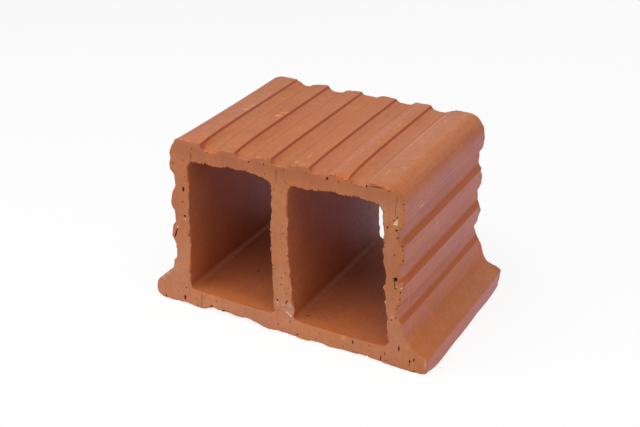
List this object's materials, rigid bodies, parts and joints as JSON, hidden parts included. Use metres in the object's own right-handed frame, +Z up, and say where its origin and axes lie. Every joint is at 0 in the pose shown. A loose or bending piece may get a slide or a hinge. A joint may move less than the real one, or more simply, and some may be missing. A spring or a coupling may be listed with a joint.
{
  "type": "hollow clay floor block",
  "caption": "Extruded fired-clay filler block with through cells, keyed top and sides and flared feet, laid between the ribs of a ribbed concrete floor.",
  "frame": {"origin": "middle of the underside", "axes": "+X across the block from foot tip to foot tip, +Y along the extrusion and its cells, +Z up from the underside to the keyed top"},
  "size_m": [0.3, 0.182, 0.183],
  "materials": {
    "fired_clay": "unglazed, matt, wire-cut ends"
  },
  "bodies": {
    "root": {"hollow_block": "fired_clay"}
  },
  "joints": []
}
